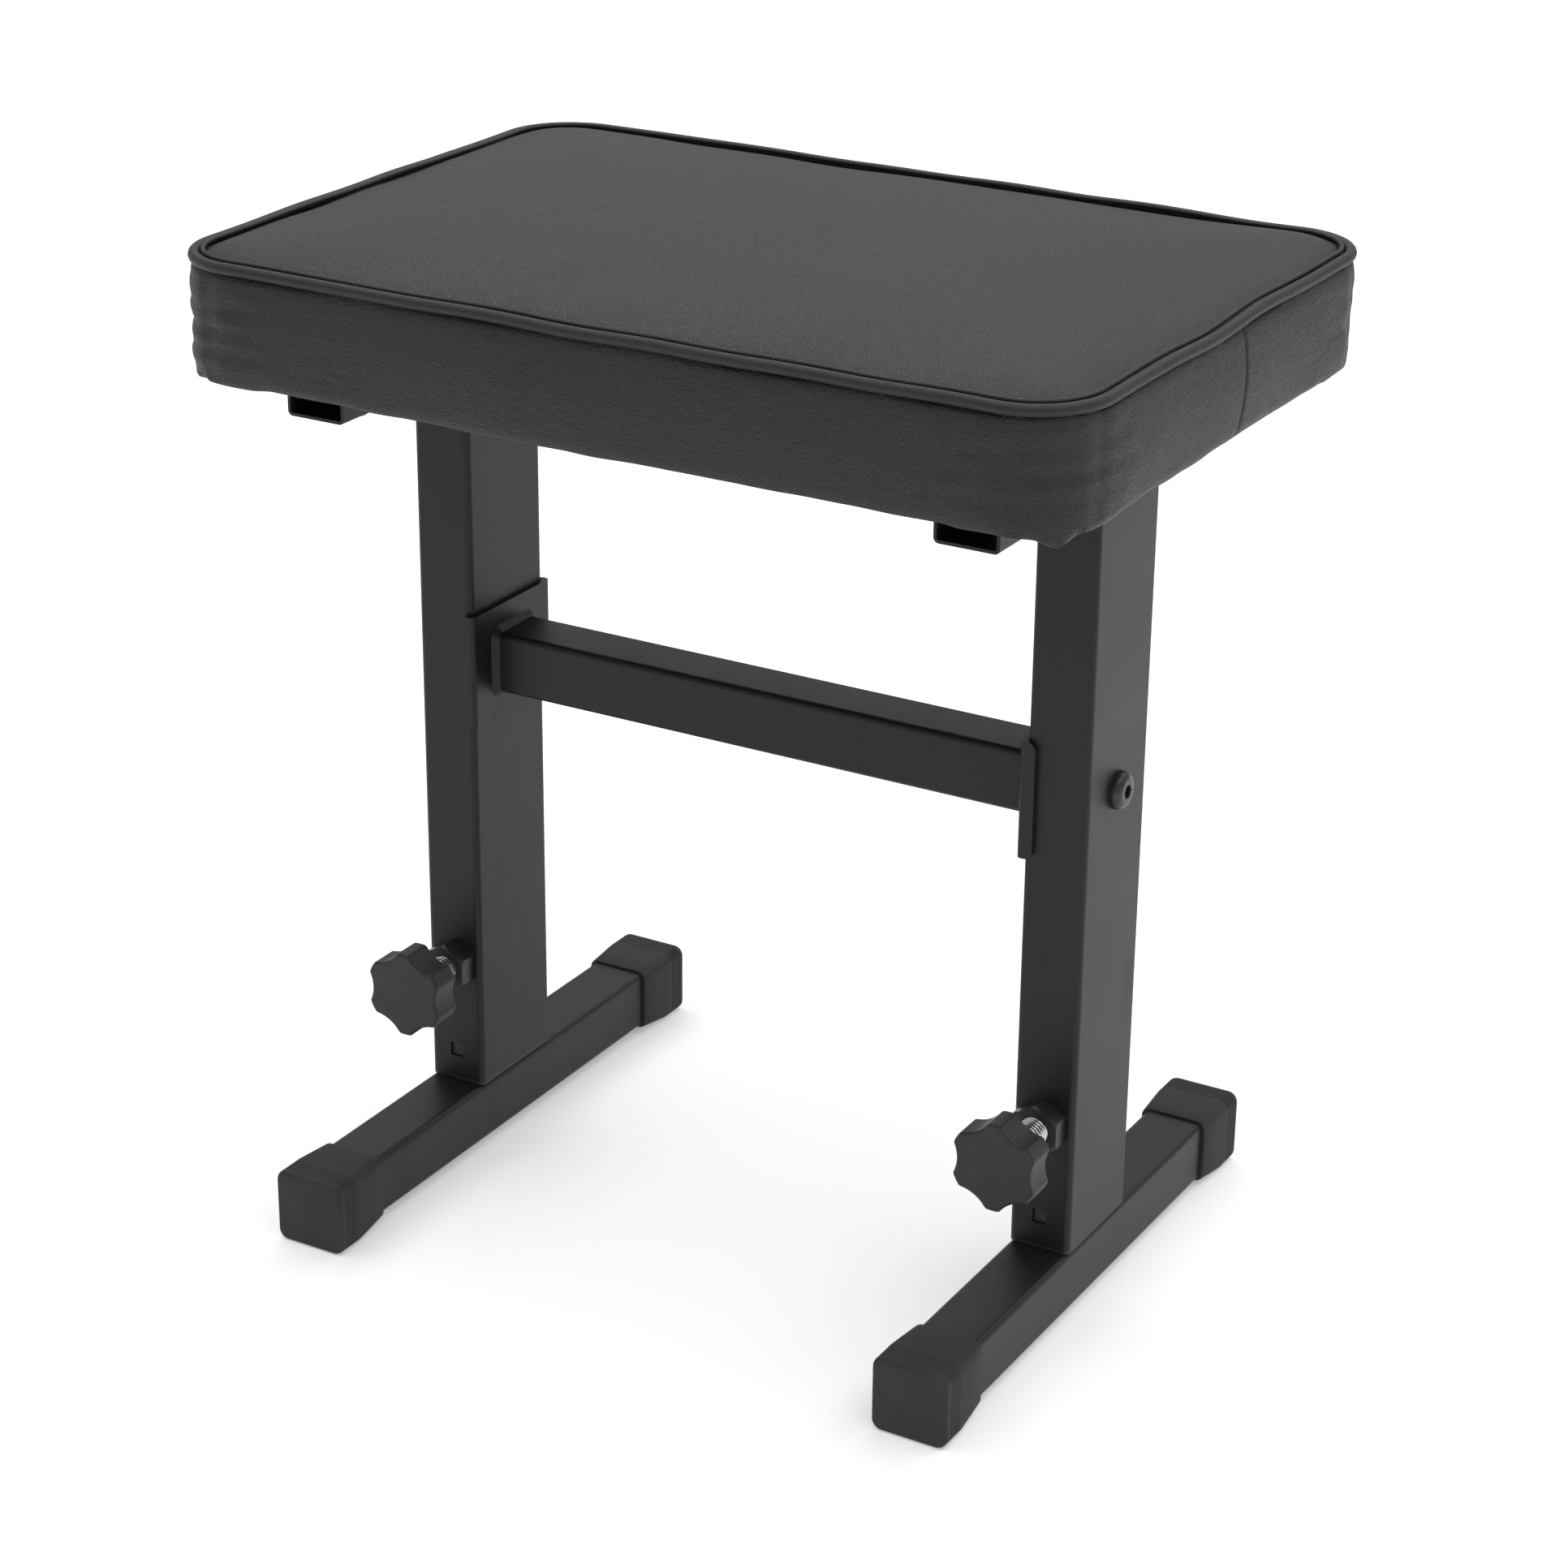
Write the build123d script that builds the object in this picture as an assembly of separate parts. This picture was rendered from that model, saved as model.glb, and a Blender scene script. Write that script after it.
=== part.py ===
from build123d import *
import math
import os

# Height-adjustable keyboard bench. Two rectangular outer posts carry the padded seat and are
# tied by one crossbar. Each slides over an inner post that is welded into a foot tube, and a
# hand screw on its front face locks it at one of the heights.
# Millimetres, +Z up, X along the seat, -Y to the front. The origin is on the floor, at the
# middle of the bench.

# Overall sizes
post_spacing = 320.0        # between the middles of the two posts
foot_length = 307.5         # front to back, over the rubber caps
rail_height = 399.0         # underside of the seat rails at the lowest setting
seat_overhang = 61.0        # from the middle of a post to the seat's end
seat_depth = 311.0
seat_corner = 38.0          # plan radius of the seat

# Height setting
lift_step = 24.0
lift_steps = 5
screw_height = 62.4         # axis of the hand screw above the bottom of the outer post
index_hole = 10.0           # diameter of the holes in the inner post
index_margin = 2.6          # from the top hole to the top guide

# Clearances
slide_gap = 0.3             # between a guide and the wall it slides on
thread_gap = 0.05           # radial, between a thread and its hole
bolt_gap = 0.3              # radial, between a bolt and a plain hole
lock_gap = 0.3              # radial, between a hand screw's point and an index hole

# Foot tubes and rubber caps
foot_side = 30.0
foot_wall = 1.5
foot_corner = 3.0
foot_lift = 4.0             # underside of the tube above the floor
cap_length = 36.5
cap_end = 4.0               # thickness of the closed end
cap_heel = 13.0             # length of the straight, ribbed stretch at the closed end
cap_width = 37.0
cap_top = 2.5               # rubber over the tube at the heel
cap_mouth_width = 34.0
cap_mouth_wall = 1.5        # rubber over and under the tube at the mouth
cap_corner = 4.5
cap_rib_count = 3
cap_rib_pitch = 2.6
cap_rib = 0.9               # width and depth of a groove between ribs
cap_rib_start = 4.5         # from the closed end to the first groove

# Inner posts and their top guides
inner_width = 20.0
inner_depth = 50.0
inner_wall = 1.5
inner_corner = 2.5
guide_grip = 10.0           # how far the guide reaches down the post
guide_lid = 3.0
guide_corner = 2.0

# Outer posts and their bottom bushes
post_width = 30.0
post_depth = 60.0
post_wall = 1.5
post_corner = 3.0
post_lift = 2.0             # bottom of the outer post above the foot tube
bush_lip = 1.6
bush_height = 39.0
window = 7.0                # square hole for the bush's snap tab
window_height = 14.6        # its middle above the bottom of the post
tab_gap = 0.2
tab_depth = 0.3

# Crossbar, saddle brackets and their bolts
bar_side = 30.0
bar_wall = 1.5
bar_corner = 3.0
bracket_plate = 2.5
bracket_height = 55.0
bracket_reach = 5.2         # how far a flange laps onto the post's front or back
bracket_bend = 2.4
bracket_round = 4.0
weld_leg = 3.0
weld_edge = 0.3
insert_length = 20.0
bolt_size = 10.0
bolt_length = 50.0
bolt_head = 17.5
bolt_head_height = 5.0
bolt_dome = 3.8
bolt_socket = 6.0
socket_depth = 3.1
bolt_above_guide = 9.5      # clear space between the top guide and the bolt

# Hand screws
screw_size = 13.8
screw_pitch = 2.0
screw_chamfer = 1.0
point_length = 4.5
point_chamfer = 1.2
nut_flats = 22.0
nut_height = 9.5
nut_chamfer = 1.4
knob_gap = {"left": 17.5, "right": 24.0}    # nut to knob, as each screw is left
knob_gap_home = 13.5        # nut to knob with the screw driven home
screw_home = 1.0            # thread end to the inner post with the screw driven home
knob_radius = 21.4
knob_height = 16.0
knob_skin = 3.5             # plastic in front of the screw
scallop_radius = 17.0
scallop_depth = 3.2
lobe_round = 2.4
knob_edge = 1.3

# Seat rails
rail_width = 30.0
rail_tall = 20.0
rail_wall = 1.5
rail_corner = 2.5
rail_inset = 32.5           # from the seat's edge to a rail's end
rail_screw_inset = 29.5     # from a rail's end to its screws

# Seat
dust_cloth = 0.5
board = 12.0
board_inset = 5.0           # from the seat's edge to the board's, padded by the foam
foam_side = 35.5            # height of the foam's upright edge
foam_step = 4.8             # height of the foam inside the piping
crown = 5.8
crown_inset = 24.0
cover = 1.2                 # thickness of the covering
piping = 6.0
piping_round = 2.6
hem = 25.0                  # covering turned in under the board
hem_gap = 2.0
staple_pitch = 45.0
staple_width = 10.0
staple_wire = 0.8
staple_leg = 7.0

# Seat screws
seat_screw = 6.0
seat_screw_length = 30.0
seat_screw_head = 11.0
seat_screw_head_height = 4.0
seat_screw_socket = 4.0
seat_socket_depth = 2.2
washer_size = 14.0
washer = 1.2
tee_barrel = 8.0
tee_height = 9.0
tee_flange = 18.0
tee_plate = 1.5

# Heights, lengths and places that follow
seat_length = post_spacing + 2 * seat_overhang
foot_top = foot_lift + foot_side
post_bottom = foot_top + post_lift
screw_z = post_bottom + screw_height
inner_bottom = foot_lift + foot_wall
inner_top = screw_z + lift_steps * lift_step + index_hole / 2 + index_margin + guide_grip
bar_z = inner_top + guide_lid + bolt_above_guide + bolt_size / 2
post_front = -post_depth / 2
inner_front = -inner_depth / 2
bracket_face = post_spacing / 2 - post_width / 2 - bracket_plate
rail_top = rail_height + rail_tall
board_bottom = rail_top + dust_cloth
board_top = board_bottom + board
foam_ledge = board_top + foam_side
rail_length = seat_depth - 2 * rail_inset
rail_screw_y = rail_length / 2 - rail_screw_inset
nut_front = post_front - nut_height
point_size = index_hole - 2 * lock_gap
screw_length = inner_front - screw_home - (nut_front - knob_gap_home) + knob_height - knob_skin

sides = {"left": -1, "right": 1}
ends = {"front": -1, "rear": 1}

os.makedirs("parts", exist_ok=True)


def save(shape, node):
    export_step(shape, f"parts/{node}.step")


def plate(width, depth, radius, low, high):
    # An upright block with rounded corners, from one height to another.
    return Pos(0, 0, low) * extrude(RectangleRounded(width, depth, radius), high - low)


def tube(width, depth, wall, radius, length):
    # A rectangular tube along Z, its middle at the origin.
    outer = RectangleRounded(width, depth, radius)
    inner = RectangleRounded(width - 2 * wall, depth - 2 * wall, radius - wall)
    return extrude(outer - inner, length / 2, both=True)


def rod(radius, start, end):
    # A round bar along Z from one height to another.
    return Pos(0, 0, start) * extrude(Circle(radius), end - start)


def hexagon(flats):
    # A hexagon with two flats facing its own X.
    return RegularPolygon(flats / 2, 6, major_radius=False, rotation=30)


def facing_front(shape):
    # Turns +Z of the shape to face the front, -Y.
    return Rot(90, 0, 0) * shape


def facing_side(shape, side):
    # Turns +Z of the shape to face outwards, along X.
    return Rot(0, 90 * side, 0) * shape


# Foot, inner post and what they carry

def foot_tube(x):
    bar = Pos(x, 0, foot_lift + foot_side / 2) * facing_front(
        tube(foot_side, foot_side, foot_wall, foot_corner, foot_length - 2 * cap_end))
    slot = Pos(x, 0, 0) * plate(inner_width, inner_depth, inner_corner, inner_bottom, foot_top + 1)
    return bar - slot


def inner_post(x):
    height = inner_top - inner_bottom
    post = Pos(0, 0, inner_bottom + height / 2) * tube(
        inner_width, inner_depth, inner_wall, inner_corner, height)
    for step in range(lift_steps + 1):
        hole = rod(index_hole / 2, -inner_front - 2 * inner_wall, -inner_front + inner_wall)
        post -= Pos(0, 0, screw_z + step * lift_step) * facing_front(hole)
    return Pos(x, 0, 0) * post


def top_guide(x):
    width = post_width - 2 * (post_wall + slide_gap)
    depth = post_depth - 2 * (post_wall + slide_gap)
    block = plate(width, depth, guide_corner, inner_top - guide_grip, inner_top + guide_lid)
    pocket = plate(inner_width, inner_depth, inner_corner, inner_top - guide_grip, inner_top)
    return Pos(x, 0, 0) * (block - pocket)


def rubber_cap(x, end):
    # Drawn with its closed end down, at the origin, and the mouth up.
    top = foot_top + cap_top
    mouth_top = foot_top + cap_mouth_wall
    mouth_bottom = foot_lift - cap_mouth_wall

    def section(width, low, high):
        return Pos(0, (low + high) / 2) * RectangleRounded(width, high - low, cap_corner)

    heel = extrude(section(cap_width, 0, top), cap_heel)
    taper = loft([Pos(0, 0, cap_heel) * section(cap_width, 0, top),
                  Pos(0, 0, cap_length) * section(cap_mouth_width, mouth_bottom, mouth_top)])
    cap = heel + taper
    for rib in range(cap_rib_count):
        place = cap_rib_start + rib * cap_rib_pitch
        inside = section(cap_width - 2 * cap_rib, cap_rib, top - cap_rib)
        cap -= Pos(0, 0, place) * extrude(section(cap_width + 2, -1, top + 1) - inside, cap_rib)
    pocket = Pos(0, foot_lift + foot_side / 2, cap_end) * extrude(
        RectangleRounded(foot_side, foot_side, foot_corner), cap_length)
    turned = Rot(90, 0, 0) * (cap - pocket)         # mouth towards -Y, closed end at Y 0
    if end < 0:
        turned = Rot(0, 0, 180) * turned
    return Pos(x, end * foot_length / 2, 0) * turned


# Outer posts and what is fixed to them

def outer_post(x, side):
    height = rail_height - post_bottom
    post = Pos(0, 0, post_bottom + height / 2) * tube(
        post_width, post_depth, post_wall, post_corner, height)
    through_front = (-post_front - 2 * post_wall, -post_front + post_wall)
    post -= Pos(0, 0, screw_z) * facing_front(rod(screw_size / 2 + bolt_gap, *through_front))
    opening = extrude(Rectangle(window, window), 3 * post_wall)
    post -= Pos(0, post_front + 2 * post_wall, post_bottom + window_height) * facing_front(opening)
    post -= Pos(0, 0, bar_z) * facing_side(rod(bolt_size / 2 + bolt_gap, -post_width, post_width), side)
    return Pos(x, 0, 0) * post


def bottom_bush(x):
    sleeve = plate(post_width - 2 * post_wall, post_depth - 2 * post_wall, post_corner - post_wall,
                   post_bottom, post_bottom + bush_height)
    lip = plate(post_width, post_depth, post_corner, post_bottom - bush_lip, post_bottom)
    bore = plate(inner_width + 2 * slide_gap, inner_depth + 2 * slide_gap, inner_corner,
                 post_bottom - bush_lip, post_bottom + bush_height)
    tab = Pos(0, post_front + post_wall, post_bottom + window_height) * facing_front(
        extrude(Rectangle(window - 2 * tab_gap, window - 2 * tab_gap), tab_depth))
    return Pos(x, 0, 0) * (sleeve + lip + tab - bore)


def weld_nut(x):
    blank = extrude(hexagon(nut_flats), nut_height)
    turned = rod(nut_flats / math.sqrt(3), 0, nut_height)
    turned = chamfer(turned.edges().sort_by(Axis.Z)[-1], nut_chamfer)
    nut = (blank & turned) - rod(screw_size / 2 + thread_gap, 0, nut_height)
    return Pos(x, post_front, screw_z) * facing_front(nut)


def saddle_bracket(x, side):
    # Drawn with the post's middle at the origin and the crossbar towards -X.
    inner = post_width / 2
    outer = inner + bracket_plate
    length = outer - inner + bracket_reach
    block = Pos(-outer + length / 2, 0, 0) * Box(
        length, post_depth + 2 * bracket_plate, bracket_height)
    block = fillet(block.edges().filter_by(Axis.Z).group_by(Axis.X)[0], bracket_bend)
    block = fillet(block.edges().filter_by(Axis.Y).group_by(Axis.X)[-1], bracket_round)
    channel = Box(2 * inner, post_depth, bracket_height + 2)
    hole = facing_side(rod(bolt_size / 2 + bolt_gap, -outer - 1, outer + 1), 1)
    bracket = block - channel - hole
    if side < 0:
        bracket = Rot(0, 0, 180) * bracket
    return Pos(x, 0, bar_z) * bracket


def crossbar_weld(side):
    run = RectangleRounded(bar_side + 2 * weld_leg, bar_side + 2 * weld_leg, bar_corner + weld_leg)
    thin = RectangleRounded(bar_side + 2 * weld_edge, bar_side + 2 * weld_edge, bar_corner + weld_edge)
    bead = loft([thin, Pos(0, 0, weld_leg) * run])
    bead -= extrude(RectangleRounded(bar_side, bar_side, bar_corner), weld_leg)
    return Pos(side * (bracket_face - weld_leg), 0, bar_z) * facing_side(bead, side)


def crossbar_insert(side):
    inner = bar_side - 2 * bar_wall
    block = extrude(RectangleRounded(inner, inner, bar_corner - bar_wall), insert_length)
    block -= rod(bolt_size / 2 + thread_gap, 0, insert_length)
    return Pos(side * (bracket_face - insert_length), 0, bar_z) * facing_side(block, side)


def cross_bolt(x, side):
    # Drawn with the underside of the head at the origin and the head up.
    head = rod(bolt_head / 2, 0, bolt_head_height)
    head = fillet(head.edges().sort_by(Axis.Z)[-1], bolt_dome)
    head -= Pos(0, 0, bolt_head_height - socket_depth) * extrude(hexagon(bolt_socket), socket_depth)
    bolt = head + rod(bolt_size / 2, -bolt_length, 0)
    return Pos(x + side * post_width / 2, 0, bar_z) * facing_side(bolt, side)


def hand_screw(x, name):
    # Drawn with the thread's end at the origin and the knob's end up.
    thread = rod(screw_size / 2, 0, screw_length)
    thread = chamfer(thread.edges().sort_by(Axis.Z)[0], screw_chamfer)
    point = rod(point_size / 2, -point_length, 0)
    point = chamfer(point.edges().sort_by(Axis.Z)[0], point_chamfer)
    thread_end = inner_front - screw_home - (knob_gap[name] - knob_gap_home)
    return Pos(x, thread_end, screw_z) * facing_front(thread + point)


def hand_knob(x, name):
    # Drawn with its back at the origin and its front up. One lobe points up the bench.
    reach = knob_radius - scallop_depth + scallop_radius
    outline = Circle(knob_radius) - PolarLocations(reach, 6) * Circle(scallop_radius)
    outline = fillet(outline.vertices(), lobe_round)
    knob = extrude(outline, knob_height)
    rims = knob.faces().sort_by(Axis.Z)
    knob = fillet(rims[-1].edges() + rims[0].edges(), knob_edge)
    knob -= rod(screw_size / 2 + thread_gap, 0, knob_height - knob_skin)
    return Pos(x, nut_front - knob_gap[name], screw_z) * facing_front(knob)


# Rails and seat

def screw_places(x):
    return [Pos(x, y, 0) for y in (-rail_screw_y, rail_screw_y)]


def seat_rail(x):
    rail = Pos(x, 0, rail_height + rail_tall / 2) * facing_front(
        tube(rail_width, rail_tall, rail_wall, rail_corner, rail_length))
    hole = rod(seat_screw / 2 + bolt_gap, rail_height - 1, rail_top + 1)
    for place in screw_places(x):
        rail -= place * hole
    return rail


def rail_weld(x):
    # One bead across the front of the post and one across its back, under the rail.
    width = post_width - 2 * post_corner
    wedge = Polyline((0, 0), (-weld_leg, 0), (0, -weld_leg), close=True)
    bead = extrude(Plane.YZ * make_face(wedge), width / 2, both=True)
    front = Pos(x, post_front, rail_height) * bead
    rear = Pos(x, -post_front, rail_height) * Rot(0, 0, 180) * bead
    return Compound([front, rear])


def seat_screws(x):
    under = rail_height - washer
    body = rod(seat_screw / 2, under, under + seat_screw_length)
    head = rod(seat_screw_head / 2, under - seat_screw_head_height, under)
    head = fillet(head.edges().sort_by(Axis.Z)[0], seat_screw_head_height / 2)
    socket = Pos(0, 0, under - seat_screw_head_height) * extrude(
        hexagon(seat_screw_socket), seat_socket_depth)
    return Compound([place * (body + head - socket) for place in screw_places(x)])


def seat_washers(x):
    ring = rod(washer_size / 2, rail_height - washer, rail_height)
    ring -= rod(seat_screw / 2 + bolt_gap, rail_height - washer, rail_height)
    return Compound([place * ring for place in screw_places(x)])


def tee_nuts(x):
    nut = rod(tee_barrel / 2, board_top - tee_height, board_top)
    nut += rod(tee_flange / 2, board_top - tee_plate, board_top)
    nut -= rod(seat_screw / 2 + thread_gap, board_top - tee_height, board_top)
    return Compound([place * nut for place in screw_places(x)])


def seat_plan(inset, low, high):
    # The seat's outline set in by an amount, as a block from one height to another.
    return plate(seat_length - 2 * inset, seat_depth - 2 * inset, seat_corner - inset, low, high)


def seat_board():
    panel = seat_plan(board_inset, board_bottom, board_top)
    hole = rod(tee_barrel / 2 + thread_gap, board_bottom, board_top)
    hole += rod(tee_flange / 2 + thread_gap, board_top - tee_plate, board_top)
    for x in (-post_spacing / 2, post_spacing / 2):
        for place in screw_places(x):
            panel -= place * hole
    return panel


def crown_over(low, high):
    # The seat's domed top, from the inside of the piping up to its flat middle.
    def outline(inset, height):
        return Pos(0, 0, height) * RectangleRounded(
            seat_length - 2 * inset, seat_depth - 2 * inset, seat_corner - inset)
    return loft([outline(piping, low), outline(piping + crown_inset, high)])


def seat_foam():
    edge = foam_ledge + foam_step
    block = seat_plan(cover, board_bottom, foam_ledge) - seat_plan(board_inset, board_bottom, board_top)
    block += seat_plan(piping, foam_ledge, edge)
    return block + crown_over(edge, edge + crown)


def cover_top():
    edge = foam_ledge + foam_step
    skin = seat_plan(piping, edge, edge + cover) + crown_over(edge + cover, edge + cover + crown)
    return skin - crown_over(edge, edge + crown)


def cover_band():
    # The covering's side, and the hem that is turned in under the board.
    wall = seat_plan(0, board_bottom - cover, foam_ledge) - seat_plan(cover, board_bottom, foam_ledge)
    return wall - seat_plan(cover + hem, board_bottom - cover, board_bottom)


def seat_piping():
    low, high = foam_ledge, foam_ledge + piping
    ring = seat_plan(0, low, high)
    ring = fillet(ring.faces().sort_by(Axis.Z)[-1].edges(), piping_round)
    return ring - seat_plan(piping, low, high)


def dust_cover():
    sheet = seat_plan(cover + hem + hem_gap, rail_top, board_bottom)
    hole = rod(seat_screw / 2 + bolt_gap, rail_top, board_bottom)
    for x in (-post_spacing / 2, post_spacing / 2):
        for place in screw_places(x):
            sheet -= place * hole
    return sheet


def cover_staples():
    # A staple lies along the seat's edge, halfway across the hem.
    base = board_bottom - cover
    crossing = Pos(0, 0, base - staple_wire / 2) * Box(staple_width, staple_wire, staple_wire)
    leg = Pos(0, 0, base + staple_leg / 2 - staple_wire / 2) * Box(
        staple_wire, staple_wire, staple_leg + staple_wire)
    reach = (staple_width - staple_wire) / 2
    staple = crossing + Pos(-reach, 0, 0) * leg + Pos(reach, 0, 0) * leg
    inset = cover + hem / 2
    placed = []
    for length, depth, turn in ((seat_length, seat_depth, 0), (seat_depth, seat_length, 90)):
        count = int((length - 2 * seat_corner) / staple_pitch) + 1
        for side in (-1, 1):
            for index in range(count):
                along = (index - (count - 1) / 2) * staple_pitch
                place = Pos(along, side * (depth / 2 - inset), 0)
                placed.append(Rot(0, 0, turn) * place * staple)
    return Compound(placed)


for name, side in sides.items():
    x = side * post_spacing / 2
    save(foot_tube(x), f"{name}_foot_tube")
    save(inner_post(x), f"{name}_inner_post")
    save(top_guide(x), f"{name}_top_guide")
    for end_name, end in ends.items():
        save(rubber_cap(x, end), f"{name}_{end_name}_cap")
    save(outer_post(x, side), f"{name}_outer_post")
    save(bottom_bush(x), f"{name}_bottom_bush")
    save(weld_nut(x), f"{name}_weld_nut")
    save(saddle_bracket(x, side), f"{name}_bracket")
    save(crossbar_weld(side), f"{name}_crossbar_weld")
    save(crossbar_insert(side), f"{name}_crossbar_insert")
    save(cross_bolt(x, side), f"{name}_cross_bolt")
    save(hand_screw(x, name), f"{name}_index_screw")
    save(hand_knob(x, name), f"{name}_knob")
    save(seat_rail(x), f"{name}_rail")
    save(rail_weld(x), f"{name}_rail_weld")
    save(seat_screws(x), f"{name}_seat_screws")
    save(seat_washers(x), f"{name}_seat_washers")
    save(tee_nuts(x), f"{name}_tee_nuts")

crossbar = tube(bar_side, bar_side, bar_wall, bar_corner, 2 * bracket_face)
save(Pos(0, 0, bar_z) * facing_side(crossbar, 1), "crossbar")
save(seat_board(), "seat_board")
save(seat_foam(), "seat_foam")
save(cover_top(), "seat_cover_top")
save(cover_band(), "seat_cover_band")
save(seat_piping(), "seat_piping")
save(dust_cover(), "dust_cover")
save(cover_staples(), "cover_staples")
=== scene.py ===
import math
import bmesh
import bpy
from mathutils import Matrix, Vector, noise


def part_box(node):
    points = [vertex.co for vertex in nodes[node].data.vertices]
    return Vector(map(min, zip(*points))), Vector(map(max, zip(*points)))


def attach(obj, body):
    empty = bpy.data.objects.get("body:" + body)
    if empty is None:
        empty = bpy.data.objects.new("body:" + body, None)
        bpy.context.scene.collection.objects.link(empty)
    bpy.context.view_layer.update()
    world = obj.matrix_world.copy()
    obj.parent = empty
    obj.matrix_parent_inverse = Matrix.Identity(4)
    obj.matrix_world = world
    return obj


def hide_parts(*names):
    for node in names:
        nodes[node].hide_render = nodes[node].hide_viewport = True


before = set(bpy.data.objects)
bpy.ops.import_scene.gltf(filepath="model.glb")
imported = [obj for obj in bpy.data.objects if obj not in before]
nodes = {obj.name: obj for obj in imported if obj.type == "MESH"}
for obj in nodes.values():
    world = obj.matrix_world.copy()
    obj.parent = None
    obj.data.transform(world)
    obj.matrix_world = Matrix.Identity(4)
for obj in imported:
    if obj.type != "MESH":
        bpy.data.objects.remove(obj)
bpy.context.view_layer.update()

sideNames = ("left", "right")
endNames = ("front", "rear")
print("frame loaded")


# Materials

class Wire:
    # a node's output, so that sums on it add Math nodes
    def __init__(self, shader, socket):
        self.shader = shader
        self.socket = socket

    def maths(self, operation, *terms):
        return self.shader.node("ShaderNodeMath", {"operation": operation}, dict(enumerate(terms)))

    def __add__(self, other):
        return self.maths("ADD", self, other)

    def __radd__(self, other):
        return self.maths("ADD", other, self)

    def __sub__(self, other):
        return self.maths("SUBTRACT", self, other)

    def __rsub__(self, other):
        return self.maths("SUBTRACT", other, self)

    def __mul__(self, other):
        return self.maths("MULTIPLY", self, other)


class Shader:
    def __init__(self, name):
        self.material = bpy.data.materials.new(name)
        self.material.use_nodes = True
        self.material.node_tree.nodes.clear()
        self.place = self.node("ShaderNodeTexCoord", {}, {}, "Object")

    def node(self, kind, settings, inputs, output=0):
        made = self.material.node_tree.nodes.new(kind)
        for key, value in settings.items():
            setattr(made, key, value)
        for key, value in inputs.items():
            if isinstance(value, Wire):
                self.material.node_tree.links.new(value.socket, made.inputs[key])
            else:
                made.inputs[key].default_value = value
        return Wire(self, made.outputs[output]) if made.outputs else made

    def grain(self, scale, detail=2.0, where=None):
        inputs = {"Vector": where or self.place, "Scale": scale, "Detail": detail}
        return self.node("ShaderNodeTexNoise", {}, inputs)

    def cells(self, scale, where, feature="DISTANCE_TO_EDGE"):
        return self.node("ShaderNodeTexVoronoi", {"feature": feature}, {"Vector": where, "Scale": scale})

    def between(self, value, low, high):
        # 0 below low, 1 above high
        return self.node("ShaderNodeMapRange", {}, {"Value": value, "From Min": low, "From Max": high})

    def stretched(self, scale):
        return self.node("ShaderNodeMapping", {}, {"Vector": self.place, "Scale": scale})

    def tint(self, amount, first, second):
        return self.node("ShaderNodeMix", {"data_type": "RGBA"}, {0: amount, 6: first, 7: second}, 2)

    def bump(self, height, distance, under=None):
        inputs = {"Height": height, "Distance": distance}
        if under:
            inputs["Normal"] = under
        return self.node("ShaderNodeBump", {}, inputs)

    def surface(self, sockets):
        body = self.node("ShaderNodeBsdfPrincipled", {}, sockets)
        self.node("ShaderNodeOutputMaterial", {}, {"Surface": body})
        return self.material


def grey(value, warmth=0.0):
    return (value * (1 + warmth), value, value * (1 - warmth), 1)


powder = {"dark": 0.0095, "light": 0.0135, "speck": 0.028, "roughness": 0.42, "peel": 1400, "texture": 5200}


def powderCoat():
    # satin black powder paint: fine orange peel, a finer tooth, and faint cloudiness
    shader = Shader("powderCoat")
    peel = shader.grain(powder["peel"])
    tooth = shader.grain(powder["texture"])
    cloud = shader.grain(16, 4)
    rub = shader.between(shader.grain(60, 5, shader.stretched((1, 1, 0.25))), 0.58, 0.8)
    speck = shader.between(tooth, 0.62, 0.78)
    base = shader.tint(cloud, grey(powder["dark"]), grey(powder["light"]))
    base = shader.tint(speck * 0.35, base, grey(powder["speck"]))
    return shader.surface({
        "Base Color": base,
        "Roughness": powder["roughness"] + (cloud - 0.5) * 0.1 + rub * 0.06,
        "Specular IOR Level": 0.27,
        "Normal": shader.bump(tooth, 0.00003, shader.bump(peel, 0.00006)),
    })


def blackSteel():
    # blackened steel of the weld nuts and the bolts, brighter where it has been rubbed
    shader = Shader("blackSteel")
    cloud = shader.grain(180, 3)
    scratch = shader.grain(900, 3, shader.stretched((1, 0.15, 1)))
    return shader.surface({
        "Base Color": shader.tint(cloud, grey(0.025), grey(0.05)),
        "Metallic": 0.55,
        "Roughness": 0.24 + cloud * 0.12 + scratch * 0.08,
        "Normal": shader.bump(scratch, 0.00003),
    })


def brightZinc():
    # bright zinc plate with drawn marks around the bar
    shader = Shader("brightZinc")
    cloud = shader.grain(260, 4)
    turned = shader.grain(900, 2, shader.stretched((0.3, 1, 0.3)))
    return shader.surface({
        "Base Color": shader.tint(cloud, grey(0.7, 0.01), grey(0.85)),
        "Metallic": 1.0,
        "Roughness": 0.17 + cloud * 0.1,
        "Normal": shader.bump(turned, 0.00001),
    })


def capRubber():
    # moulded rubber, dull, with a dusty bloom in patches
    shader = Shader("capRubber")
    fine = shader.grain(3600, 3)
    bloom = shader.between(shader.grain(70, 5), 0.4, 0.8)
    return shader.surface({
        "Base Color": shader.tint(bloom, grey(0.026, 0.02), grey(0.038, 0.015)),
        "Roughness": 0.66 + bloom * 0.1 + fine * 0.06,
        "Specular IOR Level": 0.3,
        "Normal": shader.bump(fine, 0.00006),
    })


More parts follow.
